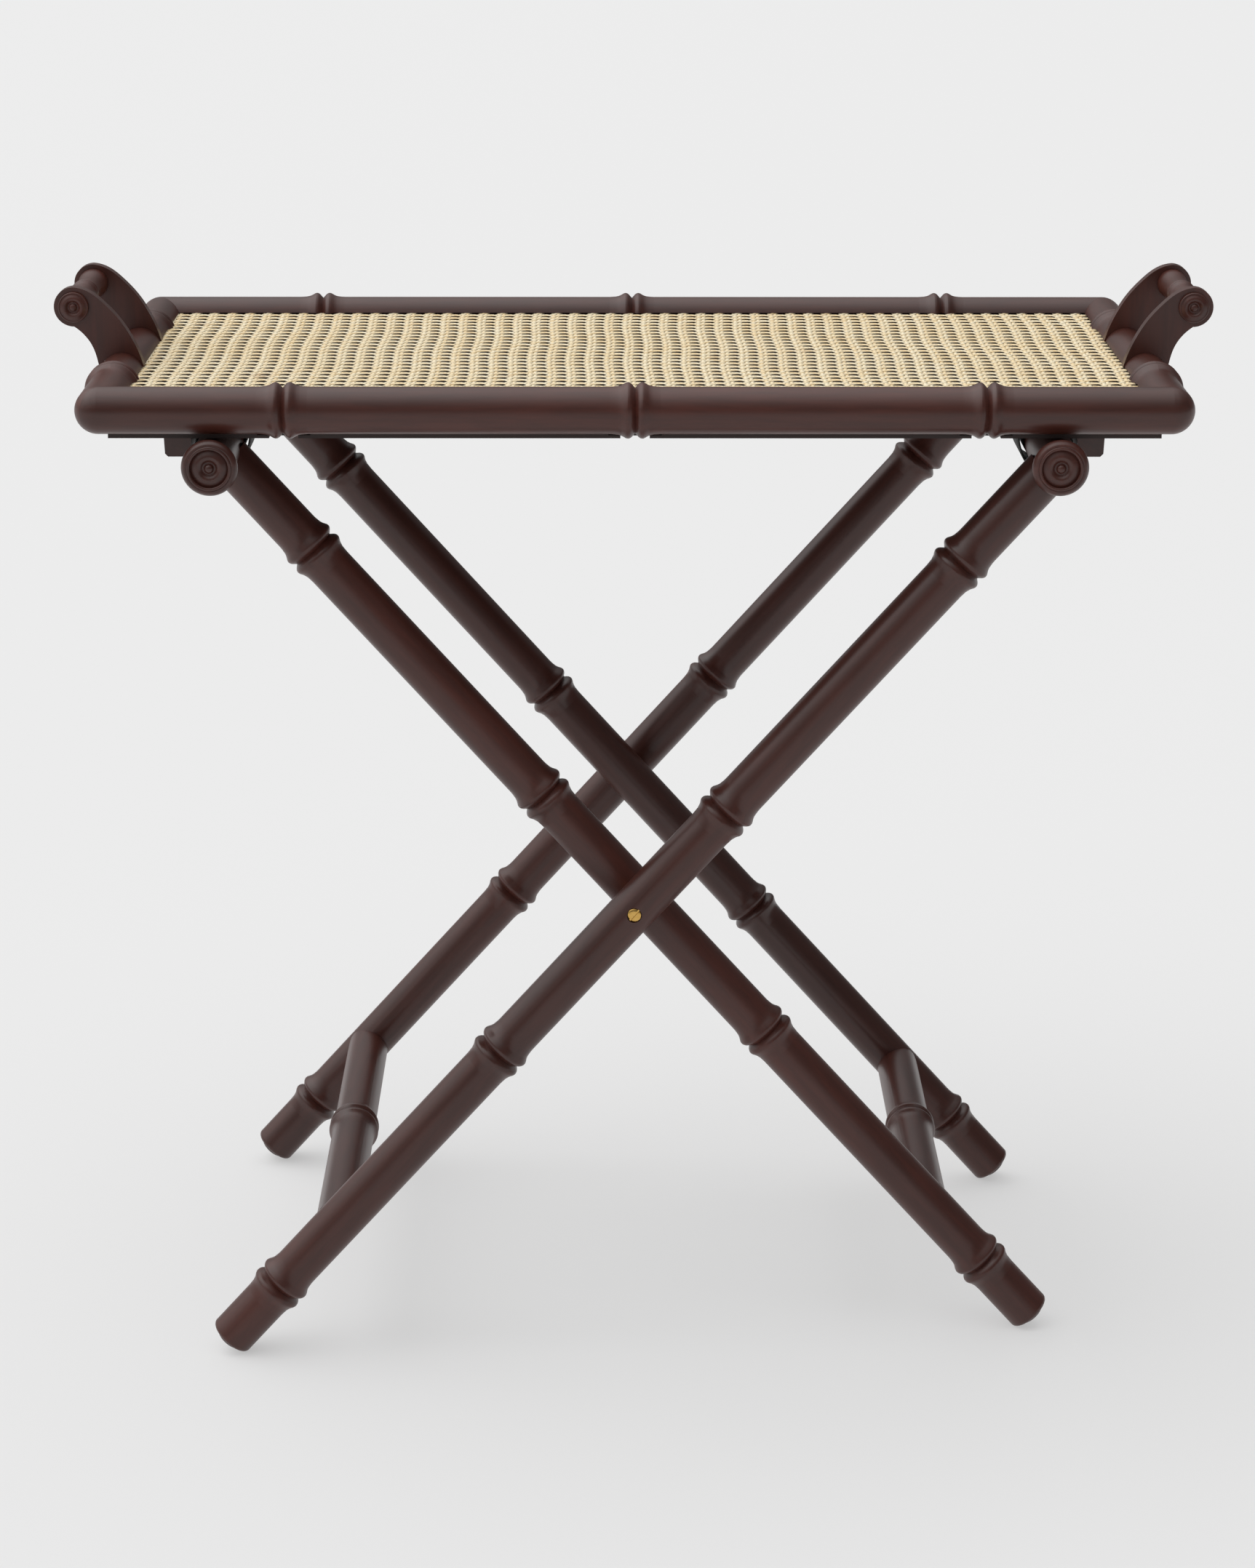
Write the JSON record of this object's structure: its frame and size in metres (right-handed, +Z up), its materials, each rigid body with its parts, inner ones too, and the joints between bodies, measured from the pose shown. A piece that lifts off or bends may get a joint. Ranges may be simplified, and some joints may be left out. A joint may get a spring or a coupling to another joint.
{
  "type": "folding tray table",
  "caption": "Butler's tray table: a cane-topped tray with bamboo-turned rails and raised handles, resting on a folding X-leg stand with leather straps.",
  "frame": {"origin": "on the floor, under the middle of the tray", "axes": "+X along the tray's length towards the right handle, +Y from the front long rail to the rear one, +Z up"},
  "size_m": [0.7664, 0.417, 0.7036],
  "materials": {
    "lacquered_wood": "dark oxblood lacquer over turned hardwood, satin",
    "rattan_cane": "natural woven cane webbing, semi-gloss skin side up",
    "stained_board": "thin plywood board stained dark",
    "raw_softwood": "planed softwood strip",
    "beech_dowel": "plain beech dowel",
    "black_leather": "black strap leather, lightly polished",
    "brass": "lacquered brass",
    "steel_screw": "zinc-plated steel",
    "glide_nylon": "dark nylon furniture glide"
  },
  "bodies": {
    "outer_frame": {"glide_outer_front": "glide_nylon", "glide_outer_rear": "glide_nylon", "outer_leg_front": "lacquered_wood", "outer_leg_rear": "lacquered_wood", "outer_stretcher": "lacquered_wood", "outer_top_rail": "lacquered_wood", "strap_front": "black_leather", "strap_rear": "black_leather"},
    "inner_frame": {"glide_inner_front": "glide_nylon", "glide_inner_rear": "glide_nylon", "inner_leg_front": "lacquered_wood", "inner_leg_rear": "lacquered_wood", "inner_stretcher": "lacquered_wood", "inner_top_rail": "lacquered_wood", "pivot_insert_front": "brass", "pivot_insert_rear": "brass", "pivot_screw_front": "brass", "pivot_screw_rear": "brass", "pivot_spacer_front": "brass", "pivot_spacer_rear": "brass"},
    "tray": {"base_board": "stained_board", "batten_screws": "steel_screw", "board_screws": "steel_screw", "bracket_screws": "steel_screw", "cane_webbing": "rattan_cane", "corner_dowels": "beech_dowel", "handle_bar_left": "lacquered_wood", "handle_bar_right": "lacquered_wood", "handle_bracket_left_front": "lacquered_wood", "handle_bracket_left_rear": "lacquered_wood", "handle_bracket_right_front": "lacquered_wood", "handle_bracket_right_rear": "lacquered_wood", "handle_rosette_left_front": "lacquered_wood", "handle_rosette_left_rear": "lacquered_wood", "handle_rosette_right_front": "lacquered_wood", "handle_rosette_right_rear": "lacquered_wood", "ledger_strip_front": "raw_softwood", "ledger_strip_rear": "raw_softwood", "stop_batten_left": "lacquered_wood", "stop_batten_right": "lacquered_wood", "tray_rail_front": "lacquered_wood", "tray_rail_left": "lacquered_wood", "tray_rail_rear": "lacquered_wood", "tray_rail_right": "lacquered_wood"}
  },
  "joints": [
    {"name": "stand_fold", "type": "hinge", "parent": "outer_frame", "child": "inner_frame", "pos_m": [0, 0, 0.3126], "axis": [0, 1, 0], "range_deg": [0, 76], "deforming": ["strap_front", "strap_rear"]},
    {"name": "tray_lift", "type": "slide", "parent": "outer_frame", "child": "tray", "axis": [0, 0, 1], "range_m": [0, 0.4]}
  ],
  "couplings": [
    {"joint": "tray_lift", "follows": "stand_fold", "m_per_rad": 0.3}
  ]
}
